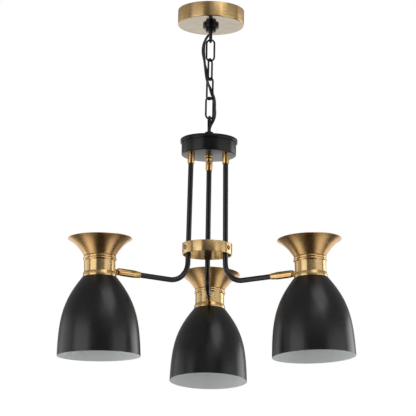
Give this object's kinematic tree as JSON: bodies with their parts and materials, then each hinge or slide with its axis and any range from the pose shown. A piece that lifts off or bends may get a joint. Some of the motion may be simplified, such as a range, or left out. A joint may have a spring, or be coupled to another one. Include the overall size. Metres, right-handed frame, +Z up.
{
  "type": "pendant light",
  "caption": "Chain-hung pendant light: a ceiling canopy, a hub, curved tube arms and tilting bell shades with brass trumpet collars",
  "frame": {"origin": "middle of the mounting strap's top face, in the ceiling plane, on the line the chain hangs along", "axes": "+Z up to the ceiling, +Y towards the back arm, +X to the right as the light is seen from the front"},
  "size_m": [0.5097, 0.4491, 0.6574],
  "materials": {
    "antique_brass": "brushed antique brass under clear lacquer",
    "black_metal": "satin black powder coat",
    "shade_black": "satin black outside, matt pale grey inside",
    "zinc_steel": "zinc plated",
    "ground_green": "green dyed screw",
    "bushing_plastic": "black nylon",
    "connector_plastic": "orange moulded plastic",
    "holder_plastic": "black moulded phenolic",
    "contact_brass": "bare brass",
    "lead_jacket": "dark grey flexible jacket"
  },
  "bodies": {
    "ceiling_mount": {"mounting_strap": "zinc_steel", "ground_screw": "ground_green", "canopy": "antique_brass", "canopy_stem": "zinc_steel", "stem_lock_nut": "zinc_steel", "canopy_ring_nut": "black_metal", "canopy_loop": "black_metal", "canopy_bushing": "bushing_plastic", "lead_span_1": "lead_jacket"},
    "link_1": {"chain_link_1": "black_metal", "lead_span_2": "lead_jacket"},
    "link_2": {"chain_link_2": "black_metal", "lead_span_3": "lead_jacket"},
    "link_3": {"chain_link_3": "black_metal", "lead_span_4": "lead_jacket"},
    "link_4": {"chain_link_4": "black_metal", "lead_span_5": "lead_jacket"},
    "fixture": {"hub_loop": "black_metal", "hub_bushing": "bushing_plastic", "hub_lid": "black_metal", "hub_cup": "black_metal", "hub_rod": "zinc_steel", "hub_lock_nut": "zinc_steel", "hub_finial": "antique_brass", "wire_connectors": "connector_plastic", "arm_ferrules": "antique_brass", "arm_lock_nuts": "zinc_steel", "centre_ring": "antique_brass", "ring_screws": "antique_brass", "knuckle_pins": "zinc_steel", "arm_tube_1": "black_metal", "arm_tube_2": "black_metal", "arm_tube_3": "black_metal", "knuckle_sleeve_1": "antique_brass", "knuckle_sleeve_2": "antique_brass", "knuckle_sleeve_3": "antique_brass"},
    "head_1": {"knuckle_tongue_1": "antique_brass", "neck_1": "antique_brass", "trumpet_1": "antique_brass", "head_bolt_1": "zinc_steel", "lampholder_1": "holder_plastic", "socket_contacts_1": "contact_brass", "shade_1": "shade_black", "shade_ring_1": "holder_plastic"},
    "head_2": {"knuckle_tongue_2": "antique_brass", "neck_2": "antique_brass", "trumpet_2": "antique_brass", "head_bolt_2": "zinc_steel", "lampholder_2": "holder_plastic", "socket_contacts_2": "contact_brass", "shade_2": "shade_black", "shade_ring_2": "holder_plastic"},
    "head_3": {"knuckle_tongue_3": "antique_brass", "neck_3": "antique_brass", "trumpet_3": "antique_brass", "head_bolt_3": "zinc_steel", "lampholder_3": "holder_plastic", "socket_contacts_3": "contact_brass", "shade_3": "shade_black", "shade_ring_3": "holder_plastic"}
  },
  "joints": [
    {"name": "chain_swing_1", "type": "hinge", "parent": "ceiling_mount", "child": "link_1", "pos_m": [0, 0, -0.0586], "axis": [0.1736, -0.9848, 0], "range_deg": [-20, 20], "deforming": ["lead_span_1"]},
    {"name": "chain_swing_2", "type": "hinge", "parent": "link_1", "child": "link_2", "pos_m": [0, 0, -0.09425], "axis": [1, 0, 0], "range_deg": [-20, 20], "deforming": ["lead_span_2"]},
    {"name": "chain_swing_3", "type": "hinge", "parent": "link_2", "child": "link_3", "pos_m": [0, 0, -0.13035], "axis": [0.4384, 0.8988, 0], "range_deg": [-20, 20], "deforming": ["lead_span_3"]},
    {"name": "chain_swing_4", "type": "hinge", "parent": "link_3", "child": "link_4", "pos_m": [0, 0, -0.16645], "axis": [-0.7771, 0.6293, 0], "range_deg": [-20, 20], "deforming": ["lead_span_4"]},
    {"name": "chain_swing_5", "type": "hinge", "parent": "link_4", "child": "fixture", "pos_m": [0, 0, -0.20255], "axis": [-0.9135, -0.4067, 0], "range_deg": [-20, 20], "deforming": ["lead_span_5"]},
    {"name": "head_tilt_1", "type": "hinge", "parent": "fixture", "child": "head_1", "pos_m": [-0.14982, -0.0865, -0.5001], "axis": [0.5, -0.866, 0], "range_deg": [-46, 44]},
    {"name": "head_tilt_2", "type": "hinge", "parent": "fixture", "child": "head_2", "pos_m": [0.14982, -0.0865, -0.5001], "axis": [0.5, 0.866, 0], "range_deg": [-42, 48]},
    {"name": "head_tilt_3", "type": "hinge", "parent": "fixture", "child": "head_3", "pos_m": [0, 0.173, -0.5001], "axis": [-1, 0, 0], "range_deg": [-50, 40]}
  ]
}
